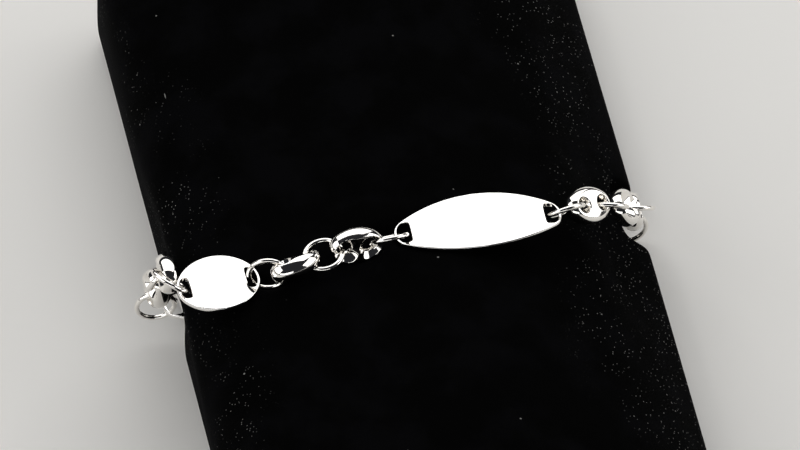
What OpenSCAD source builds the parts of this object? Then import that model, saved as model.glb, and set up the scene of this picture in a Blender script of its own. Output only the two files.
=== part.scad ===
// Chain bracelet of round links, puffed links and oval plates, closed round a padded display cushion.
// Units are millimetres. +Z is up, +X runs along the front stretch of the bracelet and +Y runs away
// from the viewer. The origin is the middle of the cushion's flat underside.

/* [Round links] */
// mean radius of a round link
ring_r = 2.95; // [2.8:0.05:3.1]
// wire thickness of a round link
wire = 0.8; // [0.6:0.05:0.85]

/* [Puffed links] */
// length of a puffed link
puff_l = 8.9; // [8.6:0.1:9.2]
// width of a puffed link
puff_w = 6.1; // [5.8:0.1:6.4]
// thickness of a puffed link
puff_t = 2.8; // [2.4:0.1:3]
// distance of each hole from the middle of a puffed link
hole_off = 2.1; // [2:0.05:2.2]
// diameter of a hole at its narrowest
hole_d = 2.2; // [2.1:0.05:2.25]

/* [Plates] */
// length of a large plate
large_l = 26.4; // [26:0.1:26.8]
// length of a small plate
small_l = 13.1; // [12.9:0.1:13.5]
// width of both plates
plate_w = 11.2; // [10.6:0.1:11.6]
// thickness of the plates
plate_t = 0.9; // [0.7:0.1:1]
// radius of the plates' lengthwise curve
plate_curve = 95; // [80:5:140]

/* [Clasp] */
// outside width of the clasp loop
clasp_w = 5.6; // [5:0.1:6.4]
// thickness of the clasp's body
clasp_t = 1.5; // [1.2:0.1:1.8]

/* [Cushion] */
// length of the cushion, front to back
cushion_l = 150; // [140:1:160]
// height of the cushion's upright left side
cushion_side = 17.6; // [16:0.2:18]
// height of the groove under the cushion for the hidden stretch
groove_h = 8.8; // [8.6:0.1:9.4]
// width of that groove
groove_w = 12.2; // [11.8:0.1:12.4]

/* [Hidden] */

silver = [0.86, 0.86, 0.88];
black = [0.05, 0.05, 0.06];

// where the two walks start: the joints at the right and left slots of the first small plate
start_right = [-27.4, -6.1, 24.65];
start_left = [-37.65, -6.5, 24.55];
first_plate = [-32.4, -6.05, 24.6];

// Each row is one piece of the chain, in order. Heading is the way it points in plan, counted from +X.
// Dip is how far it points below level, and roll turns it about its own length. Span is the distance
// between its two joints. Turn and tip set the piece off from the line between its joints.
// columns: name, heading, dip, roll, span, turn, tip
NAME = 0;
HEADING = 1;
DIP = 2;
ROLL = 3;
SPAN = 4;
TURN = 5;
TIP = 6;
right_walk = [
    ["round_link_1", -10.5, -20, 87, 5.9, 0, 0],
    ["puffed_link_1", 22, 10, -47, 3.8, 1.5, -1.5],
    ["round_link_2", 13, -7, -2, 5.9, 0, 0],
    ["puffed_link_2", 7, 8, 81, 5.1, 2.5, 1],
    ["round_link_3", 15.5, 10.5, -46, 5.9, 0, 0],
    ["large_plate_1", -1.5, 0, 0, 23, 0, 0],
    ["round_link_4", 25, 19, -52, 5.9, 0, 0],
    ["puffed_link_3", 29, 29, 41, 3.8, 0, 0],
    ["round_link_5", 21, 37, -40, 5.9, 0, 0],
    ["puffed_link_4", 54, 46, 52, 4, 0, 0],
    ["round_link_6", 64, 47, 169.5, 5.78, 0, 0],
    ["puffed_link_5", 92, 60, 80, 4.8, -12, 0],
    ["round_link_7", 180, 40, -88, 4.2, 0, 0],
    ["small_plate_2", 184.5, 0, 0, 11.1, 0, 0],
    ["round_link_8", 184.5, 0, 60, 5.9, 0, 0],
    ["puffed_link_6", 184.5, 0, -30, 5, 0, 0],
    ["round_link_9", 184.5, 0, 60, 5.9, 0, 0]
];
left_walk = [
    ["round_link_10", 114, 12, 47, 4.75, 0, 0],
    ["puffed_link_7", 86, 34, 88, 4.7, 2, -2],
    ["round_link_11", 107, 64, -21, 5.9, 0, 0],
    ["puffed_link_8", 92, 69, 78, 5.2, 0, 0],
    ["round_link_12", 0, 50, -84, 4.6, 0, 0],
    ["large_plate_2", 3.5, 4, 0, 23, 0, 0],
    ["round_link_13", 3.5, 0, 55, 5.9, 0, 0]
];

// direction of a heading and dip, and the sideways axis of a piece that also rolls
function dir(h, d) = [cos(d) * cos(h), cos(d) * sin(h), -sin(d)];
function side(h, d, r) = [
    sin(r) * sin(d) * cos(h) - cos(r) * sin(h),
    sin(r) * sin(d) * sin(h) + cos(r) * cos(h),
    sin(r) * cos(d)
];
// joint number i of a walk, and the row of a name in a walk
function step(row) = row[SPAN] * dir(row[HEADING], row[DIP]);
function joint(walk, start, i) = i == 0 ? start : joint(walk, start, i - 1) + step(walk[i - 1]);
function row_of(walk, name) = search([name], walk, 1, NAME)[0];

// n steps of an arc about c, counted from step first to step last
function arc(c, r, from, sweep, n, first, last) =
    [for (i = [first : last]) let (t = from + sweep * i / n) c + r * [cos(t), sin(t)]];
// four-arc oval of length l, width w and end radius tip, all drawn in by inset
function flank(l, w, tip) = (pow(l / 2 - tip, 2) + w * w / 4 - tip * tip) / (w - 2 * tip);
function oval(l, w, tip, inset, n) =
    let (a = l / 2 - tip, big = flank(l, w, tip), b = big - w / 2, turn = atan2(b, a))
    concat(
        arc([a, 0], tip - inset, -turn, 2 * turn, n, 0, n),
        arc([0, -b], big - inset, turn, 180 - 2 * turn, n, 1, n - 1),
        arc([-a, 0], tip - inset, 180 - turn, 2 * turn, n, 0, n),
        arc([0, b], big - inset, 180 + turn, 180 - 2 * turn, n, 1, n - 1)
    );

module round_shape() {
    rotate_extrude($fn = 72)
        translate([ring_r, 0])
            circle(d = wire, $fn = 24);
}

// pillow of oval sections with a full round edge, and two holes that flare and widen to the faces
puff_tip = 2.35;
puff_n = 8;
puff_levels = 8;
module puffed_shape() {
    half = puff_t / 2;
    count = 4 * puff_n;
    rings = [
        for (k = [0 : puff_levels])
            let (t = -90 + 180 * k / puff_levels)
            let (outline = oval(puff_l, puff_w, puff_tip, half * (1 - cos(t)), puff_n))
            [for (p = outline) [p.x, p.y, half * sin(t)]]
    ];
    points = [for (ring = rings) each ring];
    sides = [
        for (k = [0 : puff_levels - 1], i = [0 : count - 1])
            let (j = (i + 1) % count, low = k * count, high = (k + 1) * count)
            each [[low + i, high + j, low + j], [low + i, high + i, high + j]]
    ];
    bottom = [[for (i = [0 : count - 1]) i]];
    top = [[for (i = [count - 1 : -1 : 0]) puff_levels * count + i]];
    difference() {
        polyhedron(points, concat(bottom, sides, top), convexity = 4);
        for (s = [-1, 1])
            translate([s * hole_off, 0, 0])
                puffed_hole();
    }
}

flare_r = 0.75;
flare_turn = 52;
module puffed_hole() {
    throat = hole_d / 2;
    step = flare_turn / 4;
    curve = [for (i = [-4 : 4]) [throat + flare_r - flare_r * cos(i * step), flare_r * sin(i * step)]];
    z = 2;
    mouth = curve[8].x + (z - curve[8].y) * tan(flare_turn);
    rotate_extrude($fn = 48)
        polygon(concat([[0, -z], [mouth, -z]], curve, [[mouth, z], [0, z]]));
}

// thin oval plate, bent along its length, with a slot near each end
module plate_shape(l, tip, margin, slot_w, slot_h) {
    slot_out = l / 2 - margin;
    difference() {
        intersection() {
            translate([0, 0, -3])
                linear_extrude(6)
                    polygon(oval(l, plate_w, tip, 0, 16));
            translate([0, plate_w, -plate_curve])
                rotate([90, 0, 0])
                    linear_extrude(2 * plate_w)
                        difference() {
                            circle(r = plate_curve + plate_t / 2, $fn = 180);
                            circle(r = plate_curve - plate_t / 2, $fn = 180);
                        }
        }
        for (s = [0, 180])
            rotate([0, 0, s])
                translate([0, 0, -3])
                    linear_extrude(6)
                        intersection() {
                            polygon(oval(l, plate_w, tip, margin, 16));
                            translate([slot_out - slot_w, -slot_h / 2])
                                square([slot_w, slot_h]);
                        }
    }
}
module large_shape() plate_shape(large_l, 2.8, 0.45, 2.4, 4.6);
module small_shape() plate_shape(small_l, 4.5, 0.45, 1.7, 4.2);

// puts a piece at its row, halfway between its joints; a round link whose joints lie closer than its
// diameter is set off to one side, so that both still lie on its wire
module at_row(name) {
    right = is_num(row_of(right_walk, name));
    walk = right ? right_walk : left_walk;
    start = right ? start_right : start_left;
    i = row_of(walk, name);
    row = walk[i];
    round_link = name[0] == "r";
    middle = (joint(walk, start, i) + joint(walk, start, i + 1)) / 2;
    off = round_link ? sqrt(max(0, ring_r * ring_r - row[SPAN] * row[SPAN] / 4)) : 0;
    translate(middle + off * side(row[HEADING], row[DIP], row[ROLL]))
        rotate([row[ROLL], row[DIP] + row[TIP], row[HEADING] + row[TURN]])
            children();
}

module round_link(name) {
    color(silver)
        at_row(name)
            round_shape();
}

module puffed_link(name) {
    color(silver)
        at_row(name)
            puffed_shape();
}

module large_plate(name) {
    color(silver)
        at_row(name)
            translate([0, 0, 0.72])
                large_shape();
}

module small_plate_1() {
    color(silver)
        translate(first_plate)
            rotate([0, 0, 1.5])
                small_shape();
}

module small_plate_2() {
    color(silver)
        at_row("small_plate_2")
            translate([0, 0, 0.15])
                small_shape();
}

// round bar bent into a long closed loop with a small eye at one end; the last round link of the left
// walk hangs in the loop's far end, and the last one of the right walk hangs in the eye
eye_r = 1.5;
eye_t = 1;
module bar_loop(r, straight, t) {
    for (s = [0, 1])
        translate([s * straight, 0, 0])
            rotate([0, 0, s * 180 + 90])
                rotate_extrude(angle = 180, $fn = 64)
                    translate([r, 0])
                        circle(d = t, $fn = 24);
    for (s = [-1, 1])
        translate([0, s * r, 0])
            rotate([0, 90, 0])
                cylinder(h = straight, d = t, $fn = 24);
}

module clasp() {
    p = joint(right_walk, start_right, len(right_walk));
    q = joint(left_walk, start_left, len(left_walk));
    reach = norm(p - q);
    way = (p - q) / reach;
    // how far the loop and the eye reach past the two joints
    past_q = (clasp_t + wire) / 2 + 0.2;
    past_p = (eye_t + wire) / 2 + 0.2;
    r = (clasp_w - clasp_t) / 2;
    neck = (clasp_t + eye_t) / 2;
    straight = reach + past_q + past_p - 2 * r - neck - 2 * eye_r;
    color(silver)
        translate(q)
            rotate([0, -asin(way.z), atan2(way.y, way.x)])
                translate([r - past_q, 0, 0]) {
                    bar_loop(r, straight, clasp_t);
                    translate([r + straight, 0, 0])
                        rotate([0, 90, 0])
                            cylinder(h = neck, d = eye_t, $fn = 24);
                    translate([r + straight + neck + eye_r, 0, 0])
                        rotate_extrude($fn = 48)
                            translate([eye_r, 0])
                                circle(d = eye_t, $fn = 24);
                }
}

// cross-section of the cushion, from the left foot over the top to the right foot
// columns: x, z
section = [
    [-34.5, 0], [-36.4, 1.5], [-37, 5], [-37, 12], [-36.9, cushion_side], [-35.8, 20.8], [-33, 21.8],
    [-24, 22], [-10, 22.7], [4, 23.1], [14, 23.1], [18.6, 22.4], [23, 19.5], [27.4, 15.6],
    [31.6, 11.7], [35.4, 8.2], [38.2, 5], [38.1, 1.5], [36, 0]
];
// smooth curve through the points of a table, with n steps to each stretch
function blend(a, b, c, d, t) =
    0.5 * (2 * b + (c - a) * t + (2 * a - 5 * b + 4 * c - d) * t * t + (3 * b - a - 3 * c + d) * t * t * t);
function smooth(p, n) = [
    for (i = [0 : len(p) - 2], k = [0 : n - 1])
        blend(p[max(i - 1, 0)], p[i], p[i + 1], p[min(i + 2, len(p) - 1)], k / n),
    p[len(p) - 1]
];

// the groove crosses the middle line of the underside at groove_y, turned a little from square
groove_y = 8.55;
groove_turn = 4.2;
mouth_x = -33.2;
mouth_h = 12.4;
corner_r = 12;
end_r = 6;
module cushion() {
    color(black)
        difference() {
            intersection() {
                rotate([90, 0, 0])
                    translate([0, 0, -cushion_l / 2])
                        linear_extrude(cushion_l)
                            polygon(smooth(section, 4));
                linear_extrude(30)
                    cushion_plan();
                cushion_ends();
            }
            translate([0, groove_y, -1])
                rotate([0, 0, groove_turn])
                    translate([-60, -groove_w / 2, 0]) {
                        cube([120, groove_w, groove_h + 1]);
                        cube([60 + mouth_x, groove_w, mouth_h + 1]);
                    }
        }
}

// plan of the cushion, with round corners
module cushion_plan() {
    half = 38.6;
    for (x = [-1, 1], y = [-1, 1])
        translate([x * (half - corner_r), y * (cushion_l / 2 - corner_r)])
            circle(r = corner_r, $fn = 64);
    square([2 * half, cushion_l - 2 * corner_r], center = true);
    square([2 * half - 2 * corner_r, cushion_l], center = true);
}

// side view of the cushion, with its top edges rounded at both ends
module cushion_ends() {
    top = 24.5;
    rotate([90, 0, 90])
        translate([0, 0, -50])
            linear_extrude(100) {
                for (s = [-1, 1])
                    translate([s * (cushion_l / 2 - end_r), top - end_r])
                        circle(r = end_r, $fn = 64);
                translate([-cushion_l / 2, 0])
                    square([cushion_l, top - end_r]);
                translate([-cushion_l / 2 + end_r, 0])
                    square([cushion_l - 2 * end_r, top]);
            }
}

cushion();
clasp();
small_plate_1();
small_plate_2();
large_plate("large_plate_1");  // large_plate_1
large_plate("large_plate_2");  // large_plate_2
round_link("round_link_1");  // round_link_1
round_link("round_link_2");  // round_link_2
round_link("round_link_3");  // round_link_3
round_link("round_link_4");  // round_link_4
round_link("round_link_5");  // round_link_5
round_link("round_link_6");  // round_link_6
round_link("round_link_7");  // round_link_7
round_link("round_link_8");  // round_link_8
round_link("round_link_9");  // round_link_9
round_link("round_link_10");  // round_link_10
round_link("round_link_11");  // round_link_11
round_link("round_link_12");  // round_link_12
round_link("round_link_13");  // round_link_13
puffed_link("puffed_link_1");  // puffed_link_1
puffed_link("puffed_link_2");  // puffed_link_2
puffed_link("puffed_link_3");  // puffed_link_3
puffed_link("puffed_link_4");  // puffed_link_4
puffed_link("puffed_link_5");  // puffed_link_5
puffed_link("puffed_link_6");  // puffed_link_6
puffed_link("puffed_link_7");  // puffed_link_7
puffed_link("puffed_link_8");  // puffed_link_8
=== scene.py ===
"""Silver chain bracelet closed round a black velvet display cushion.

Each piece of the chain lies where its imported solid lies, and the frame is read for that. The pieces are
modelled in millimetres, and every finished mesh is in metres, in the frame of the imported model: +Z up,
+X along the front stretch of the chain, origin on the cushion's underside.
"""

import logging
import math
from dataclasses import dataclass, replace
from enum import Enum
from itertools import pairwise
from typing import Iterable, Sequence

import bpy
import numpy as np
from mathutils import Matrix, Vector
from mathutils.bvhtree import BVHTree


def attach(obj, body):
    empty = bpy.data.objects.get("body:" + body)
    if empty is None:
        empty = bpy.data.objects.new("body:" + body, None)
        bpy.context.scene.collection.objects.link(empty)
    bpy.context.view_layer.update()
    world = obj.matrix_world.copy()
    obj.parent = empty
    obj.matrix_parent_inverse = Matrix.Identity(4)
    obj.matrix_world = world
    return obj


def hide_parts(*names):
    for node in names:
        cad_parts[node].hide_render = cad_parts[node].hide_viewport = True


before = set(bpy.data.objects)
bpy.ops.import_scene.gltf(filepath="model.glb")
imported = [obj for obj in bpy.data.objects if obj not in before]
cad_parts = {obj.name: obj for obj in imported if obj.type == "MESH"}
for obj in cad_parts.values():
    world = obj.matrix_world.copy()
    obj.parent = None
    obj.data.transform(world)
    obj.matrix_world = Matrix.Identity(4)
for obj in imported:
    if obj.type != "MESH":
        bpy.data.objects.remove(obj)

log = logging.getLogger("bracelet")

MM = 0.001
PHOTO_WIDTH_PX = 800
MM_PER_PIXEL = 0.155
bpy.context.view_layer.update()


# Small helpers


def linear(hex_colour: str) -> tuple[float, float, float, float]:
    """Turns an sRGB hex colour into the linear colour that a shader takes.

    Args:
        hex_colour: Six hex digits, with or without a leading hash.

    Returns:
        Linear red, green and blue, and an alpha of 1.
    """
    digits = hex_colour.lstrip("#")
    out = []
    for i in (0, 2, 4):
        c = int(digits[i : i + 2], 16) / 255
        out.append(c / 12.92 if c <= 0.04045 else ((c + 0.055) / 1.055) ** 2.4)
    return (out[0], out[1], out[2], 1.0)


def deselect() -> None:
    """Leaves edit mode and deselects every object."""
    if bpy.context.object and bpy.context.object.mode != "OBJECT":
        bpy.ops.object.mode_set(mode="OBJECT")
    bpy.ops.object.select_all(action="DESELECT")


def make_active(obj: bpy.types.Object) -> None:
    """Selects one object alone and makes it the active one."""
    deselect()
    obj.select_set(True)
    bpy.context.view_layer.objects.active = obj


def apply_modifier(obj: bpy.types.Object, kind: str, **settings: object) -> None:
    """Adds a modifier with the given settings and applies it.

    Args:
        obj: The mesh object.
        kind: The modifier's type, such as MIRROR.
        settings: Values for the modifier's own fields.
    """
    make_active(obj)
    modifier = obj.modifiers.new(kind.lower(), kind)
    for key, value in settings.items():
        setattr(modifier, key, value)
    bpy.ops.object.modifier_apply(modifier=modifier.name)


def coordinates(obj: bpy.types.Object) -> np.ndarray:
    """Gives the mesh's points as an array with one row each."""
    flat = np.empty(len(obj.data.vertices) * 3, dtype=np.float64)
    obj.data.vertices.foreach_get("co", flat)
    return flat.reshape(-1, 3)


def set_coordinates(obj: bpy.types.Object, points: np.ndarray) -> None:
    """Moves the mesh's points to the rows of an array."""
    obj.data.vertices.foreach_set("co", np.ascontiguousarray(points, dtype=np.float32).ravel())
    obj.data.update()


def close_up(obj: bpy.types.Object, distance: float) -> None:
    """Merges doubled points and turns all the faces outwards, in edit mode.

    Args:
        obj: The mesh object.
        distance: Points closer than this become one, in the mesh's own units.
    """
    make_active(obj)
    bpy.ops.object.mode_set(mode="EDIT")
    bpy.ops.mesh.select_all(action="SELECT")
    bpy.ops.mesh.remove_doubles(threshold=distance)
    bpy.ops.mesh.dissolve_degenerate(threshold=distance)
    bpy.ops.mesh.select_all(action="SELECT")
    bpy.ops.mesh.normals_make_consistent(inside=False)
    bpy.ops.object.mode_set(mode="OBJECT")


def shade_smooth(obj: bpy.types.Object, degrees: float) -> None:
    """Shades a mesh smooth, with edges sharper than the given angle left crisp."""
    make_active(obj)
    bpy.ops.object.shade_smooth_by_angle(angle=math.radians(degrees))


# Finishes


def add_node(
    tree: bpy.types.NodeTree,
    kind: str,
    settings: dict[str, object] | None = None,
    inputs: dict[str | int, object] | None = None,
) -> bpy.types.Node:
    """Adds a shader node with its settings, socket values and links.

    Args:
        tree: The material's or world's node tree.
        kind: The node's type name, such as ShaderNodeTexNoise.
        settings: Values for the node's own fields.
        inputs: Socket name or number to a value, or to another node's output socket.

    Returns:
        The new node.
    """
    node = tree.nodes.new(kind)
    for key, value in (settings or {}).items():
        setattr(node, key, value)
    for key, value in (inputs or {}).items():
        if isinstance(value, bpy.types.NodeSocket):
            tree.links.new(value, node.inputs[key])
        else:
            node.inputs[key].default_value = value
    return node


def new_material(name: str) -> tuple[bpy.types.Material, bpy.types.NodeTree, bpy.types.NodeSocket]:
    """Starts an empty material.

    Args:
        name: The finish's plain name.

    Returns:
        The material, its node tree and the Object coordinates' socket.
    """
    material = bpy.data.materials.new(name)
    material.use_nodes = True
    tree = material.node_tree
    tree.nodes.clear()
    where = add_node(tree, "ShaderNodeTexCoord").outputs["Object"]
    return material, tree, where


def ramp(
    tree: bpy.types.NodeTree,
    factor: bpy.types.NodeSocket,
    low: float,
    high: float,
    out_low: float,
    out_high: float,
) -> bpy.types.NodeSocket:
    """Maps a range of values smoothly onto another range.

    Args:
        tree: The node tree.
        factor: The value to map.
        low: Start of the range that is read.
        high: End of the range that is read.
        out_low: Result at and below low.
        out_high: Result at and above high.

    Returns:
        The mapped value's socket.
    """
    node = add_node(
        tree,
        "ShaderNodeMapRange",
        {"interpolation_type": "SMOOTHSTEP"},
        {"Value": factor, "From Min": low, "From Max": high, "To Min": out_low, "To Max": out_high},
    )
    return node.outputs["Result"]


def combine(
    tree: bpy.types.NodeTree,
    operation: str,
    first: bpy.types.NodeSocket | float,
    second: bpy.types.NodeSocket | float,
) -> bpy.types.NodeSocket:
    """Joins two values with a math operation and gives the result's socket."""
    return add_node(tree, "ShaderNodeMath", {"operation": operation}, {0: first, 1: second}).outputs[0]


def noise(
    tree: bpy.types.NodeTree,
    where: bpy.types.NodeSocket,
    grain_mm: float,
    detail: float,
    roughness: float,
) -> bpy.types.NodeSocket:
    """Adds a random pattern of the given grain and gives its value's socket."""
    inputs = {"Vector": where, "Scale": 1 / (grain_mm * MM), "Detail": detail, "Roughness": roughness}
    return add_node(tree, "ShaderNodeTexNoise", {"noise_dimensions": "3D"}, inputs).outputs["Fac"]


@dataclass(frozen=True)
class PolishedSilver:
    """Sterling silver, cast or struck and then polished on a wheel.

    Polishing leaves a mirror with very fine hairlines, and wear adds faint smudges that only show
    where the reflection turns soft.
    """

    name: str
    colour: str
    smooth: float
    worn: float
    hairline_mm: float
    hairline_depth_mm: float
    smudge_mm: float
    # the wheel's direction, how far its hairlines are drawn out, and where smudges start and are full
    wheel_turn: tuple[float, float, float] = (0.3, 0.2, 0.5)
    drawn_out: float = 0.09
    smudge_range: tuple[float, float] = (0.42, 0.68)

    def build(self) -> bpy.types.Material:
        """Makes the material.

        Returns:
            The finished material.
        """
        material, tree, where = new_material(self.name)
        smudge = noise(tree, where, self.smudge_mm, 3.0, 0.6)
        stretched = add_node(
            tree,
            "ShaderNodeMapping",
            {"vector_type": "POINT"},
            {"Vector": where, "Rotation": self.wheel_turn, "Scale": (self.drawn_out, 1.0, 1.0)},
        ).outputs["Vector"]
        hairline = noise(tree, stretched, self.hairline_mm, 4.0, 0.7)
        bump = add_node(
            tree,
            "ShaderNodeBump",
            None,
            {"Height": hairline, "Strength": 0.5, "Distance": self.hairline_depth_mm * MM},
        ).outputs["Normal"]
        shader = add_node(
            tree,
            "ShaderNodeBsdfPrincipled",
            None,
            {
                "Base Color": linear(self.colour),
                "Metallic": 1.0,
                "Roughness": ramp(tree, smudge, *self.smudge_range, self.smooth, self.worn),
                "Normal": bump,
            },
        ).outputs[0]
        add_node(tree, "ShaderNodeOutputMaterial", None, {"Surface": shader})
        return material


@dataclass(frozen=True)
class BlackVelvet:
    """Short-pile cotton velvet, dyed black, on a foam filling.

    The pile swallows light seen straight on and shows a faint sheen seen along it. Its nap lies this way and
    that in patches, and dust clings to it. Pale specks are painted denser in bands along the left edge and
    the right shoulder, where the edges catch the light, so those bands are partly dust and partly painted
    highlight.
    """

    name: str
    colour: str
    nap_colour: str
    sheen_colour: str
    # pale speck colour: dust everywhere, and painted highlight in the bands along the lit edges
    dust_and_highlight_colour: str
    pile_mm: float
    nap_mm: float
    dust_mm: float
    # where the bands of denser specks thin out across the cushion, partly dust and partly painted highlight
    # of the lit edges, and how long the patches in the bands are
    left_dust_and_highlight_mm: tuple[float, float] = (-36.0, -26.0)
    right_dust_and_highlight_mm: tuple[float, float] = (17.0, 27.0)
    band_patch_mm: float = 14.0

    def specks(
        self,
        tree: bpy.types.NodeTree,
        where: bpy.types.NodeSocket,
        spacing_mm: float,
        size: float,
        stretch: Sequence[float],
        share: float,
    ) -> bpy.types.NodeSocket:
        """Scatters specks, one at most in each cell of a random pattern.

        Args:
            tree: The node tree.
            where: The coordinates' socket.
            spacing_mm: Usual distance between cells.
            size: A speck's radius as a share of the spacing.
            stretch: Scale of the pattern along each axis, below 1 for a fibre's length.
            share: Share of the cells that hold a speck.

        Returns:
            A mask's socket, 1 on a speck.
        """
        placed = add_node(
            tree,
            "ShaderNodeMapping",
            {"vector_type": "POINT"},
            {"Vector": where, "Rotation": (0.0, 0.0, 0.7 * spacing_mm), "Scale": tuple(stretch)},
        ).outputs["Vector"]
        cells = add_node(
            tree,
            "ShaderNodeTexVoronoi",
            {"feature": "F1", "voronoi_dimensions": "3D"},
            {"Vector": placed, "Scale": 1 / (spacing_mm * MM)},
        )
        near = ramp(tree, cells.outputs["Distance"], size * 0.6, size, 1.0, 0.0)
        chance = add_node(tree, "ShaderNodeSeparateColor", None, {"Color": cells.outputs["Color"]}).outputs[0]
        chosen = combine(tree, "LESS_THAN", chance, share)
        return combine(tree, "MULTIPLY", near, chosen)

    def build(self) -> bpy.types.Material:
        """Makes the material.

        Returns:
            The finished material.
        """
        material, tree, where = new_material(self.name)
        nap = noise(tree, where, self.nap_mm, 4.0, 0.55)
        pile = noise(tree, where, self.pile_mm, 2.0, 0.7)
        cloth = add_node(
            tree,
            "ShaderNodeMix",
            {"data_type": "RGBA"},
            {0: ramp(tree, nap, 0.4, 0.65, 0.0, 1.0), 6: linear(self.colour), 7: linear(self.nap_colour)},
        ).outputs[2]
        # dust mixed with painted highlight: pale specks lie denser in bands along the sloping shoulder and
        # the left edge, where the cushion's edges catch the light
        across = add_node(tree, "ShaderNodeSeparateXYZ", None, {"Vector": where}).outputs["X"]
        left_from, left_to = (edge * MM for edge in self.left_dust_and_highlight_mm)
        right_from, right_to = (edge * MM for edge in self.right_dust_and_highlight_mm)
        left = ramp(tree, across, left_from, left_to, 0.8, 0.0)
        right = ramp(tree, across, right_from, right_to, 0.0, 1.0)
        patches = ramp(tree, noise(tree, where, self.band_patch_mm, 2.0, 0.6), 0.4, 0.6, 0.0, 1.0)
        dust_and_highlight_bands = combine(tree, "MULTIPLY", combine(tree, "MAXIMUM", left, right), patches)
        motes = self.specks(tree, where, self.dust_mm, 0.07, (1.0, 1.0, 1.0), 0.07)
        coarse = self.specks(tree, where, self.dust_mm * 0.45, 0.12, (1.0, 1.0, 1.0), 0.22)
        fine = self.specks(tree, where, self.dust_mm * 0.18, 0.22, (1.0, 1.0, 1.0), 0.4)
        lint = self.specks(tree, where, self.dust_mm * 1.3, 0.03, (1.0, 0.16, 1.0), 0.2)
        # the banded specks: partly dust, partly painted highlight of the lit edges
        banded_dust_and_highlight = combine(tree, "MULTIPLY", combine(tree, "MAXIMUM", coarse, fine), dust_and_highlight_bands)
        dust_and_highlight = combine(tree, "MAXIMUM", combine(tree, "MAXIMUM", motes, lint), banded_dust_and_highlight)
        # pale specks mixed into the cloth's colour: dust, and painted highlight in the edge bands
        colour = add_node(
            tree,
            "ShaderNodeMix",
            {"data_type": "RGBA"},
            {0: combine(tree, "MULTIPLY", dust_and_highlight, 0.3), 6: cloth, 7: linear(self.dust_and_highlight_colour)},
        ).outputs[2]
        relief = combine(tree, "ADD", pile, combine(tree, "MULTIPLY", dust_and_highlight, 1.5))
        bump = add_node(
            tree, "ShaderNodeBump", None, {"Height": relief, "Strength": 0.6, "Distance": 0.12 * MM}
        ).outputs["Normal"]
        shader = add_node(
            tree,
            "ShaderNodeBsdfPrincipled",
            None,
            {
                "Base Color": colour,
                "Roughness": 0.95,
                "IOR": 1.3,
                "Specular IOR Level": 0.05,
                "Sheen Weight": 0.04,
                "Sheen Roughness": 0.32,
                "Sheen Tint": linear(self.sheen_colour),
                "Normal": bump,
            },
        ).outputs[0]
        add_node(tree, "ShaderNodeOutputMaterial", None, {"Surface": shader})
        return material


@dataclass(frozen=True)
class PaleFloor:
    """Matt painted board, a plain pale floor for the studio."""

    name: str
    colour: str
    grains_per_m: float = 900.0

    def build(self) -> bpy.types.Material:
        """Makes the material.

        Returns:
            The finished material.
        """
        material, tree, where = new_material(self.name)
        grain = add_node(
            tree, "ShaderNodeTexNoise", None, {"Vector": where, "Scale": self.grains_per_m, "Detail": 2.0}
        ).outputs["Fac"]
        bump = add_node(
            tree, "ShaderNodeBump", None, {"Height": grain, "Strength": 0.1, "Distance": 0.05 * MM}
        ).outputs["Normal"]
        shader = add_node(
            tree,
            "ShaderNodeBsdfPrincipled",
            None,
            {"Base Color": linear(self.colour), "Roughness": 0.85, "Normal": bump},
        ).outputs[0]
        add_node(tree, "ShaderNodeOutputMaterial", None, {"Surface": shader})
        return material


class Finish(Enum):
    """The finishes of the bracelet and its cushion, by the record's slot."""

    SILVER = "silver"
    PLATE = "plate_silver"
    VELVET = "velvet"


# polished wire and struck links: a mirror that hand wear has dulled a little
LINK_SILVER = PolishedSilver("polished_sterling_silver", "F4F1EC", 0.045, 0.11, 0.12, 0.0022, 1.3)
# rolled plate, with shallower hairlines and broader smudges than the links
PLATE_SILVER = PolishedSilver("rolled_sterling_plate", "F6F4F1", 0.05, 0.1, 0.16, 0.0015, 4.0)
# black velvet; its pale speck colour serves both dust and the painted highlight along the lit edges
VELVET = BlackVelvet("black_cotton_velvet", "010101", "040405", "55555C", "C9C7C2", 0.28, 9.0, 3.0)
FLOOR_BOARD = PaleFloor("matt_white_board", "E6E4E0")


class Wardrobe:
    """Builds each finish once and dresses pieces with it."""

    def __init__(self) -> None:
        """Makes the three finishes."""
        self.materials = {
            Finish.SILVER: LINK_SILVER.build(),
            Finish.PLATE: PLATE_SILVER.build(),
            Finish.VELVET: VELVET.build(),
        }

    def dress(self, obj: bpy.types.Object, finish: Finish) -> None:
        """Gives a piece its finish, in place of any other."""
        obj.data.materials.clear()
        obj.data.materials.append(self.materials[finish])

    def hand_over(self, obj: bpy.types.Object, finish: Finish, nodes: Iterable[str]) -> None:
        """Dresses a finished piece, and puts it on its body in place of its CAD nodes.

        Args:
            obj: The finished piece, at the origin.
            finish: Its finish.
            nodes: The CAD nodes that it stands for.
        """
        self.dress(obj, finish)
        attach(obj, "root")
        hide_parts(*nodes)
        log.info("%s: %d faces", obj.name, len(obj.data.polygons))


# The chain's lie


def placed(middle: Vector, along: Vector, thin: Vector) -> Matrix:
    """Gives a piece's matrix from its middle, its own +X and its own +Z."""
    turned = Matrix((along, thin.cross(along), thin)).transposed()
    return Matrix.Translation(middle) @ turned.to_4x4()


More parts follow.
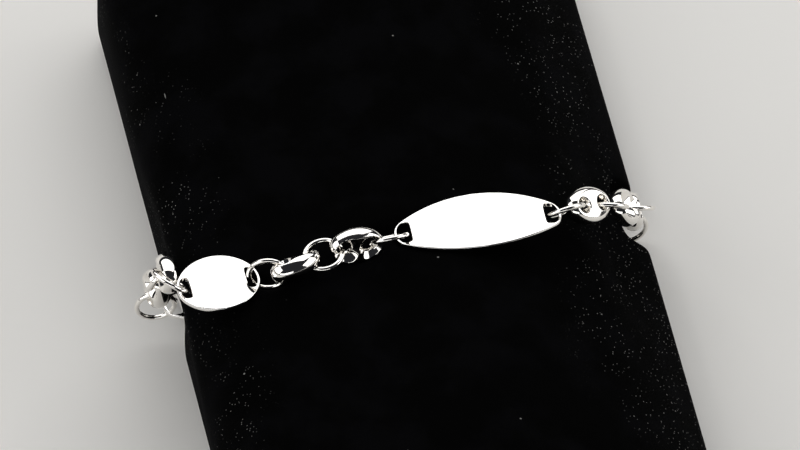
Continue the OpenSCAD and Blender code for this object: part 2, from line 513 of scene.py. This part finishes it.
def lie_of(obj: bpy.types.Object, unit_mm: float) -> Matrix:
    """Reads how a closed mesh lies, from its volume and the way that is spread.

    Args:
        obj: The mesh object.
        unit_mm: Millimetres in one unit of the mesh.

    Returns:
        Its matrix in millimetres, at the volume's centre. Its own X runs the long way and its own Z
        the thin way, which points up.
    """
    mesh = obj.data
    mesh.calc_loop_triangles()
    points = coordinates(obj) * unit_mm
    corners = points[np.array([t.vertices[:] for t in mesh.loop_triangles])]
    # every face closes a wedge towards the origin, and then towards the volume's centre
    wedges = np.linalg.det(corners)
    middle = (wedges[:, None] * corners.sum(axis=1)).sum(axis=0) / (4 * wedges.sum())
    corners = corners - middle
    wedges, sums = np.linalg.det(corners), corners.sum(axis=1)
    spread = np.einsum("t,tij,tik->jk", wedges, corners, corners)
    spread += np.einsum("t,tj,tk->jk", wedges, sums, sums)
    _, axes = np.linalg.eigh(spread)
    by_reach = np.argsort(-np.ptp((points - middle) @ axes, axis=0))
    along, thin = Vector(axes[:, by_reach[0]]), Vector(axes[:, by_reach[2]])
    along *= math.copysign(1, along.x)
    thin *= math.copysign(1, thin.z)
    return placed(Vector(middle), along, thin)


# the two runs from the first small plate to the clasp, with a round link between each two pieces
RIGHT_RUN = (
    "small_plate_1",
    "puffed_link_1",
    "puffed_link_2",
    "large_plate_1",
    "puffed_link_3",
    "puffed_link_4",
    "puffed_link_5",
    "small_plate_2",
    "puffed_link_6",
    "clasp",
)
LEFT_RUN = ("small_plate_1", "puffed_link_7", "puffed_link_8", "large_plate_2", "clasp")


# Links and plates


@dataclass(frozen=True)
class PiercedOval:
    """Oval piece with an opening near each end, as puffed links and plates both are.

    One quarter of the upper half is laid out as rays that run from the opening's wall to the rim or
    to the middle line, and is then mirrored three times. Heights are counted from the middle plane.
    """

    length: float
    width: float
    tip: float
    # height at the middle, height of the rim's edge, how far that edge lies in from the outline, and
    # how far its softened corner runs on to the face
    crown: float
    rim: float
    rim_in: float
    fillet: float
    # the opening: distance from the middle, half sizes along and across, and how square its outer
    # and inner halves are
    opening: float
    half_along: float
    half_across: float
    square: float
    square_in: float
    # the opening's wall: radius of its waist, how far it turns outwards, and softness of its lip
    waist: float
    flare: float
    lip: float
    # share of the flare that is kept along the piece, and the radius of its lengthwise curve
    flare_along: float = 1.0
    bend: float = 0.0
    # how finely the quarter is laid out, and how close two points have to be to become one
    rim_rays: int = 33
    middle_rays: int = 15
    wall_stations: int = 6
    face_stations: int = 13
    lip_steps: tuple[float, ...] = (-1.6, -1.1, -0.7, -0.35, 0.0, 0.35, 0.7, 1.1, 1.6)
    merge: float = 1e-4

    def inset(self, x: float, y: float) -> float:
        """Gives how far a point of the first quarter lies inside the outline."""
        a = self.length / 2 - self.tip
        big = (a * a + self.width**2 / 4 - self.tip**2) / (self.width - 2 * self.tip)
        b = big - self.width / 2
        if a * y - b * (x - a) < 0:
            return self.tip - math.hypot(x - a, y)
        return big - math.hypot(x, y + b)

    def rim_profile(self) -> list[tuple[float, float]]:
        """Gives the rim's curve from the middle plane up on to the face.

        Returns:
            Rows of inset and height: the crowned tread, its softened edge and the face's start.
        """
        radius = (self.rim**2 + self.rim_in**2) / (2 * self.rim_in)
        top = math.asin(self.rim / radius)
        back = self.fillet / self.rim * top
        tread = [(radius - radius * math.cos(t), radius * math.sin(t)) for t in np.linspace(0, top - back, 8)]
        start, corner = tread[-1], (self.rim_in, self.rim)
        end_in = self.rim_in + self.fillet
        end = (end_in, self.face(end_in))
        soft = []
        for t in np.linspace(0, 1, 6)[1:]:
            soft.append(
                tuple((1 - t) ** 2 * start[k] + 2 * t * (1 - t) * corner[k] + t * t * end[k] for k in (0, 1))
            )
        return tread + soft

    def face(self, inset: float) -> float:
        """Gives the crowned face's height at an inset."""
        share = min(1.0, max(0.0, (inset - self.rim_in) / (self.width / 2 - self.rim_in)))
        return self.rim + (self.crown - self.rim) * (1 - (1 - share) ** 2)

    def wall(self, off: float) -> float:
        """Gives the height of the opening's wall at a distance from its waist."""
        turn = math.radians(self.flare)
        turn_off, turn_up = self.waist * (1 - math.cos(turn)), self.waist * math.sin(turn)
        if off <= turn_off:
            return self.waist * math.sin(math.acos(max(-1.0, 1 - off / self.waist)))
        return turn_up + (off - turn_off) / math.tan(turn)

    def height(self, off: float, inset: float, profile: list[tuple[float, float]]) -> float:
        """Gives the surface's height, where the opening's wall turns softly into the face or rim.

        Args:
            off: Distance from the opening's waist.
            inset: Distance inside the outline.
            profile: The rim's curve, as rows of inset and height.

        Returns:
            The height above the middle plane.
        """
        insets, heights = zip(*profile)
        low = self.wall(off)
        high = float(np.interp(inset, insets, heights)) if inset < insets[-1] else self.face(inset)
        share = min(1.0, max(0.0, 0.5 + 0.5 * (high - low) / self.lip))
        return high + (low - high) * share - self.lip * share * (1 - share)

    def ray_ends(self, profile: list[tuple[float, float]]) -> list[tuple[float, float | None]]:
        """Chooses the rays that fill the quarter.

        Args:
            profile: The rim's curve, as rows of inset and height.

        Returns:
            Each ray's angle, and where it ends on the middle line, or None if it ends on the rim.
        """
        half_width = self.width / 2
        corner = math.atan2(half_width, -self.opening)
        to_rim = [(angle, None) for angle in np.linspace(0, corner, self.rim_rays)]
        ends = [half_width - inset for inset, _ in profile[1:]]
        ends += [ends[-1] * share for share in np.linspace(1, 0, self.middle_rays)[1:]]
        return to_rim + [(math.atan2(end, -self.opening), end) for end in ends]

    def wall_offsets(self) -> list[float]:
        """Gives the stations on the opening's wall and round its lip, counted from its waist."""
        turn = math.radians(self.flare)
        turn_off = self.waist * (1 - math.cos(turn))
        wall = [self.waist * (1 - math.cos(t)) for t in np.linspace(0, turn, self.wall_stations)]
        lip_off = turn_off + max(0.0, self.rim - self.waist * math.sin(turn)) * math.tan(turn)
        return wall + [max(turn_off, lip_off + step * self.lip) for step in self.lip_steps]

    def ray(
        self, angle: float, end: float | None, profile: list[tuple[float, float]]
    ) -> list[tuple[float, float, float]]:
        """Lays out one ray's points, from the opening's waist outwards.

        Args:
            angle: The ray's angle from the piece's long way.
            end: Where it ends on the middle line, or None if it ends on the rim.
            profile: The rim's curve, as rows of inset and height.

        Returns:
            The points, the same number for every ray.
        """
        c, s = math.cos(angle), math.sin(angle)
        ease = self.square if c >= 0 else self.square_in
        wide = self.flare_along + (1 - self.flare_along) * s * s
        start = ((abs(c) / self.half_along) ** ease + (abs(s) / self.half_across) ** ease) ** (-1 / ease)
        limit = self.length
        if end is not None:
            limit = math.hypot(self.opening, end) - start
        elif c < -1e-9:
            limit = -self.opening / c - start

        def at(off: float) -> tuple[float, float]:
            return self.opening + (start + off) * c, (start + off) * s

        def reach(inset: float) -> float:
            low, high = 0.0, min(limit, self.length)
            if self.inset(*at(high)) >= inset:
                return high
            for _ in range(50):
                middle = (low + high) / 2
                if self.inset(*at(middle)) > inset:
                    low = middle
                else:
                    high = middle
            return low

        edge = reach(profile[-1][0])
        offs = [min(off * wide, edge) for off in self.wall_offsets()]
        far = offs[-1]
        for t in np.linspace(0, 1, self.face_stations)[1:]:
            offs.append(far + (edge - far) * (0.5 - 0.5 * math.cos(math.pi * t)))
        offs += [reach(inset) for inset, _ in reversed(profile[:-1])]
        points = []
        for k, off in enumerate(offs):
            x, y = at(off)
            flat = k == 0 or (k == len(offs) - 1 and end is None)
            z = 0.0 if flat else self.height(off / wide, max(0.0, self.inset(abs(x), y)), profile)
            points.append((max(0.0, x), max(0.0, y), max(0.0, z)))
        return points

    def build(self, name: str) -> bpy.types.Object:
        """Models the piece about the origin, in millimetres.

        Args:
            name: The object's name.

        Returns:
            The closed mesh object.
        """
        profile = self.rim_profile()
        laid = np.array([self.ray(angle, end, profile) for angle, end in self.ray_ends(profile)])
        rays, stations = laid.shape[0] - 1, laid.shape[1] - 1
        deselect()
        bpy.ops.mesh.primitive_grid_add(x_subdivisions=rays, y_subdivisions=stations, size=1)
        obj = bpy.context.object
        obj.name = name
        flat = coordinates(obj) + 0.5
        ray = np.rint(flat[:, 0] * rays).astype(int)
        station = np.rint(flat[:, 1] * stations).astype(int)
        set_coordinates(obj, laid[ray, station])
        apply_modifier(
            obj,
            "MIRROR",
            use_axis=(True, True, True),
            use_mirror_merge=True,
            merge_threshold=self.merge,
        )
        close_up(obj, self.merge)
        if self.bend:
            points = coordinates(obj)
            points[:, 2] += np.sqrt(self.bend**2 - points[:, 0] ** 2) - self.bend
            set_coordinates(obj, points)
        return obj


@dataclass(frozen=True)
class RoundLink:
    """Plain ring of round wire, closed with a soldered seam."""

    radius: float = 2.95
    wire: float = 0.8
    # the soldered seam: its angle, its swelling and the groove in it, with their widths in degrees
    seam_at: float = 62.0
    seam_swell: float = 0.035
    seam_width: float = 9.0
    groove: float = 0.02
    groove_width: float = 2.0

    def build(self, name: str) -> bpy.types.Object:
        """Models the ring about the origin, in millimetres.

        Args:
            name: The object's name.

        Returns:
            The ring's mesh object.
        """
        deselect()
        bpy.ops.mesh.primitive_torus_add(
            major_radius=self.radius, minor_radius=self.wire / 2, major_segments=120, minor_segments=24
        )
        obj = bpy.context.object
        obj.name = name
        points = coordinates(obj)
        angle = np.degrees(np.arctan2(points[:, 1], points[:, 0]))
        away = np.abs((angle - self.seam_at + 180) % 360 - 180)
        # the seam stands a little proud, with a fine groove where the two wire ends meet
        swell = self.seam_swell * np.exp(-((away / self.seam_width) ** 2))
        swell -= self.groove * np.exp(-((away / self.groove_width) ** 2))
        flat = np.column_stack([points[:, 0], points[:, 1], np.zeros(len(points))])
        spine = flat / np.linalg.norm(flat, axis=1)[:, None] * self.radius
        points = spine + (points - spine) * (1 + swell / (self.wire / 2))[:, None]
        set_coordinates(obj, points)
        return obj


PUFFED_LINK = PiercedOval(
    length=8.9,
    width=6.1,
    tip=2.35,
    crown=1.55,
    rim=1.42,
    rim_in=0.65,
    fillet=0.22,
    opening=2.1,
    half_along=0.9,
    half_across=0.9,
    square=2.0,
    square_in=2.0,
    waist=1.2,
    flare=18.0,
    lip=0.22,
)
# where the neighbouring rings pass at a slant, the opening flares wider
SLANTED_LINK = replace(PUFFED_LINK, half_along=1.1, half_across=1.1, waist=0.75, flare=52.0, lip=0.16)
LARGE_PLATE = PiercedOval(
    length=26.4,
    width=11.2,
    tip=2.8,
    crown=0.45,
    rim=0.4,
    rim_in=0.08,
    fillet=0.12,
    opening=11.62,
    half_along=1.12,
    half_across=2.05,
    square=2.0,
    square_in=7.0,
    waist=3.0,
    flare=5.0,
    lip=0.06,
    bend=95.0,
)
SMALL_PLATE = replace(LARGE_PLATE, length=13.1, tip=4.5, opening=5.25, half_along=0.85, half_across=2.1)
SHAPES = {"puffed": PUFFED_LINK, "large": LARGE_PLATE, "small": SMALL_PLATE}


class Bracelet:
    """The whole chain: round links, puffed links, plates and the clasp that closes it."""

    # links whose rings pass at a slant, and how far each one's openings flare along the link
    slanted = {
        "puffed_link_1": 0.5,
        "puffed_link_2": 0.75,
        "puffed_link_4": 0.9,
        "puffed_link_5": 0.5,
        "puffed_link_7": 0.9,
        "puffed_link_8": 0.5,
    }
    # angle from one ring's seam to the next one's, so that no two lie alike
    seam_step = 137.5

    def __init__(self, wardrobe: Wardrobe) -> None:
        """Keeps the finishes, builds a model of each kind and reads where each piece lies."""
        self.wardrobe = wardrobe
        self.pieces: list[bpy.types.Object] = []
        self.models = {kind: shape.build(f"{kind}_model") for kind, shape in SHAPES.items()}
        self.models["round"] = RoundLink().build("ring_model")
        for node, share in self.slanted.items():
            self.models[node] = replace(SLANTED_LINK, flare_along=share).build(f"{node}_model")
        solids = {node: solid for node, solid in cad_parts.items() if node != "cushion"}
        self.lies = {node: lie_of(solid, 1 / MM) for node, solid in solids.items()}
        self.places: dict[str, Matrix] = {}
        for number, (before, after) in enumerate([*pairwise(RIGHT_RUN), *pairwise(LEFT_RUN)], 1):
            node = f"round_link_{number}"
            self.places[node] = self.ring_place(node, before, after)
        for node in sorted(set(RIGHT_RUN + LEFT_RUN) - {"clasp"}):
            self.places[node] = self.lies[node] @ lie_of(self.models[self.kind(node)], 1.0).inverted()

    def kind(self, node: str) -> str:
        """Gives the name of the model that a piece is copied from."""
        return node if node in self.slanted else node.split("_")[0]

    def joint(self, node: str, near: Vector) -> Vector:
        """Gives the point where a ring goes through its neighbour.

        Args:
            node: The neighbour.
            near: The ring's middle.

        Returns:
            The middle of the neighbour's nearer opening, or the clasp's own middle.
        """
        shape = SHAPES.get(node.split("_")[0])
        off = shape.opening if shape else 0.0
        ends = [self.lies[node] @ Vector((side * off, 0, 0)) for side in (-1, 1)]
        return min(ends, key=lambda end: (end - near).length)

    def ring_place(self, node: str, before: str, after: str) -> Matrix:
        """Places a round link as its solid lies, with its own X along the chain.

        Args:
            node: The ring's CAD node.
            before: The piece that comes before it in its run.
            after: The piece that comes after it.

        Returns:
            The ring's matrix, in millimetres.
        """
        lie = self.lies[node]
        middle, thin = lie.translation, lie.col[2].to_3d()
        along = self.joint(after, middle) - self.joint(before, middle)
        along -= thin * along.dot(thin)
        return placed(middle, along.normalized(), thin)

    def place(self, node: str) -> bpy.types.Object:
        """Copies the piece's model to its place.

        Args:
            node: The CAD node that the piece stands for.

        Returns:
            The placed piece, with its own mesh in metres.
        """
        kind = self.kind(node)
        obj = self.models[kind].copy()
        obj.data = obj.data.copy()
        obj.name = obj.data.name = f"silver_{node}"
        bpy.context.scene.collection.objects.link(obj)
        own = Matrix.Identity(4)
        if kind == "round":
            own = Matrix.Rotation(math.radians(self.seam_step * int(node.split("_")[-1])), 4, "Z")
        obj.data.transform(Matrix.Scale(MM, 4) @ self.places[node] @ own)
        shade_smooth(obj, 50)
        return obj

    def build(self) -> None:
        """Makes every piece of the chain, clears the models away and dresses the clasp."""
        for node in sorted(self.places):
            piece = self.place(node)
            finish = Finish.PLATE if "plate" in node else Finish.SILVER
            self.wardrobe.hand_over(piece, finish, [node])
            self.pieces.append(piece)
        for model in self.models.values():
            bpy.data.objects.remove(model)
        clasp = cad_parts["clasp"]
        self.wardrobe.dress(clasp, Finish.SILVER)
        self.pieces.append(clasp)
        log.info("chain: %d pieces", len(self.pieces))


# Cushion


@dataclass
class Cushion:
    """Low padded cushion in black velvet, with the chain pressed lightly into its top."""

    wardrobe: Wardrobe
    voxel: float = 2.0 * MM
    frames: int = 14
    pressure: float = 3.0
    cap: float = 2.2 * MM
    clearance: float = 0.12 * MM
    # parts that a stiff board holds: below this height, and in the groove about its middle line
    board_top: float = 1.5 * MM
    groove_top: float = 13 * MM
    groove_middle: float = 8.5 * MM
    groove_half: float = 10 * MM
    # how deep a piece is looked for, how far off it may be, and how a dent spreads over the cover
    deep: float = 4 * MM
    near: float = 3 * MM
    spread_steps: int = 14
    spread_share: float = 0.985

    def rough_shape(self) -> bpy.types.Object:
        """Copies the cushion's solid and remeshes it evenly.

        Returns:
            The remeshed copy.
        """
        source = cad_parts["cushion"]
        obj = bpy.data.objects.new("velvet_cushion", source.data.copy())
        bpy.context.scene.collection.objects.link(obj)
        close_up(obj, 1e-6)
        obj.data.remesh_voxel_size = self.voxel
        make_active(obj)
        bpy.ops.object.voxel_remesh()
        return obj

    def swell(self, obj: bpy.types.Object) -> None:
        """Fills the cover out under the filling's pressure, as cloth.

        Args:
            obj: The remeshed cushion. Its points move by no more than the cap.
        """
        before = coordinates(obj)
        group = obj.vertex_groups.new(name="board")
        held = np.nonzero(before[:, 2] < self.board_top)[0]
        group.add([int(i) for i in held], 1.0, "ADD")
        beside = np.abs(before[:, 1] - self.groove_middle) < self.groove_half
        in_groove = np.nonzero((before[:, 2] < self.groove_top) & beside)[0]
        group.add([int(i) for i in in_groove], 1.0, "ADD")
        make_active(obj)
        cloth = obj.modifiers.new("cloth", "CLOTH")
        cloth.settings.quality = 6
        cloth.settings.mass = 0.25
        cloth.settings.tension_stiffness = 18
        cloth.settings.compression_stiffness = 18
        cloth.settings.shear_stiffness = 6
        cloth.settings.bending_stiffness = 0.4
        cloth.settings.use_pressure = True
        cloth.settings.uniform_pressure_force = self.pressure
        cloth.settings.vertex_group_mass = "board"
        cloth.settings.effector_weights.gravity = 0
        cloth.point_cache.frame_start = 1
        cloth.point_cache.frame_end = self.frames
        scene = bpy.context.scene
        for number in range(1, self.frames + 1):
            scene.frame_set(number)
        bpy.ops.object.modifier_apply(modifier=cloth.name)
        scene.frame_set(1)
        moved = coordinates(obj) - before
        size = np.linalg.norm(moved, axis=1)
        log.info("cushion swelled by %.2f mm at most", size.max() / MM)
        moved *= np.minimum(1.0, self.cap / np.maximum(size, 1e-9))[:, None]
        set_coordinates(obj, before + moved)

    def press_in(self, obj: bpy.types.Object, chain: Sequence[bpy.types.Object]) -> None:
        """Presses the cover down wherever a piece of the chain would touch it.

        Args:
            obj: The swelled and subdivided cushion.
            chain: The pieces that lie on it or hang beside it.
        """
        points, faces, count = [], [], 0
        for piece in chain:
            points += [v.co[:] for v in piece.data.vertices]
            faces += [[i + count for i in p.vertices] for p in piece.data.polygons]
            count = len(points)
        tree = BVHTree.FromPolygons(points, faces)
        cover = coordinates(obj)
        normals = np.array([v.normal[:] for v in obj.data.vertices])
        need = np.zeros(len(cover))
        for i, (point, normal) in enumerate(zip(cover, normals)):
            _, _, _, distance = tree.find_nearest(Vector(point), self.near)
            if distance is None:
                continue
            origin = Vector(point - normal * self.deep)
            _, _, _, hit = tree.ray_cast(origin, Vector(normal), self.deep + self.clearance)
            if hit is not None:
                need[i] = self.deep + self.clearance - hit
        pressed = need.copy()
        pairs = np.array([e.vertices[:] for e in obj.data.edges])
        degree = np.bincount(pairs.ravel(), minlength=len(cover)).astype(float)
        for _ in range(self.spread_steps):
            total = np.zeros(len(cover))
            np.add.at(total, pairs[:, 0], pressed[pairs[:, 1]])
            np.add.at(total, pairs[:, 1], pressed[pairs[:, 0]])
            pressed = np.maximum(need, self.spread_share * total / degree)
        set_coordinates(obj, cover - normals * pressed[:, None])
        log.info("chain presses %.2f mm into the cushion", need.max() / MM)

    def build(self, chain: Sequence[bpy.types.Object]) -> bpy.types.Object:
        """Makes the cushion.

        Args:
            chain: The chain's pieces.

        Returns:
            The finished cushion.
        """
        obj = self.rough_shape()
        self.swell(obj)
        apply_modifier(obj, "SUBSURF", levels=2, render_levels=2)
        points = coordinates(obj)
        points[:, 2] = np.maximum(points[:, 2], 0.0)
        set_coordinates(obj, points)
        self.press_in(obj, chain)
        shade_smooth(obj, 60)
        self.wardrobe.hand_over(obj, Finish.VELVET, ["cushion"])
        return obj


# Studio


@dataclass(frozen=True)
class Softbox:
    """Square or oblong studio light with a soft front."""

    name: str
    towards: tuple[float, float, float]
    distance: float
    size: tuple[float, float]
    watts: float
    colour: str = "FFFFFF"

    def build(self, aim: Vector) -> None:
        """Hangs the light so that it faces a point.

        Args:
            aim: The point that it lights.
        """
        data = bpy.data.lights.new(self.name, "AREA")
        data.shape = "RECTANGLE"
        data.size, data.size_y = self.size
        data.energy = self.watts
        data.color = linear(self.colour)[:3]
        light = bpy.data.objects.new(self.name, data)
        way = Vector(self.towards).normalized()
        light.location = aim + way * self.distance
        light.rotation_mode = "QUATERNION"
        light.rotation_quaternion = way.to_track_quat("Z", "Y")
        light.visible_camera = False
        bpy.context.scene.collection.objects.link(light)


@dataclass(frozen=True)
class Studio:
    """Camera, pale floor and soft lights."""

    azimuth: float = -11.8
    elevation: float = 48.0
    target: tuple[float, float, float] = (-2.41, 0.25, 24.5)
    width_mm: float = MM_PER_PIXEL * PHOTO_WIDTH_PX
    distance: float = 3.0
    sensor_mm: float = 36.0
    floor_size: float = 6.0
    lights: tuple[Softbox, ...] = (
        Softbox("back_softbox", (0.14, 0.66, 0.74), 0.75, (1.3, 0.9), 6.6),
        Softbox("left_softbox", (-0.85, -0.1, 0.5), 0.8, (0.9, 0.7), 3.6),
        Softbox("right_softbox", (0.93, -0.15, 0.35), 0.8, (0.8, 0.5), 2.4),
        Softbox("front_strip", (-0.3, -0.93, 0.2), 0.9, (1.0, 0.25), 1.3),
    )
    surround: str = "26272A"

    def place_camera(self) -> None:
        """Places the camera at the photograph's viewing angle, far off with a long lens."""
        data = bpy.data.cameras.new("photo_camera")
        data.sensor_width = self.sensor_mm
        data.lens = self.sensor_mm * self.distance / (self.width_mm * MM)
        data.clip_start, data.clip_end = 0.01, 20.0
        camera = bpy.data.objects.new("photo_camera", data)
        a, e = math.radians(self.azimuth), math.radians(self.elevation)
        back = Vector((math.sin(a) * math.cos(e), -math.cos(a) * math.cos(e), math.sin(e)))
        camera.location = Vector(self.target) * MM + back * self.distance
        camera.rotation_mode = "QUATERNION"
        camera.rotation_quaternion = (-back).to_track_quat("-Z", "Y")
        bpy.context.scene.collection.objects.link(camera)
        bpy.context.scene.camera = camera

    def light(self) -> None:
        """Lays the floor, hangs the lights and sets the dim surround."""
        deselect()
        bpy.ops.mesh.primitive_plane_add(size=self.floor_size, location=(0, 0, -0.05 * MM))
        floor = bpy.context.object
        floor.name = "studio_floor"
        floor.data.materials.append(FLOOR_BOARD.build())
        aim = Vector((0, 0, 0.015))
        for softbox in self.lights:
            softbox.build(aim)
        world = bpy.data.worlds.new("studio_world")
        world.use_nodes = True
        world.node_tree.nodes.clear()
        glow = add_node(
            world.node_tree, "ShaderNodeBackground", None, {"Color": linear(self.surround), "Strength": 1.0}
        ).outputs[0]
        add_node(world.node_tree, "ShaderNodeOutputWorld", None, {"Surface": glow})
        bpy.context.scene.world = world


def main() -> None:
    """Builds the camera, the bracelet, the cushion and the studio in order."""
    logging.basicConfig(level=logging.INFO, format="%(name)s: %(message)s")
    studio = Studio()
    studio.place_camera()
    wardrobe = Wardrobe()
    bracelet = Bracelet(wardrobe)
    bracelet.build()
    Cushion(wardrobe).build(bracelet.pieces)
    studio.light()
    bpy.context.scene.view_settings.view_transform = "Standard"


if __name__ == "__main__":
    main()
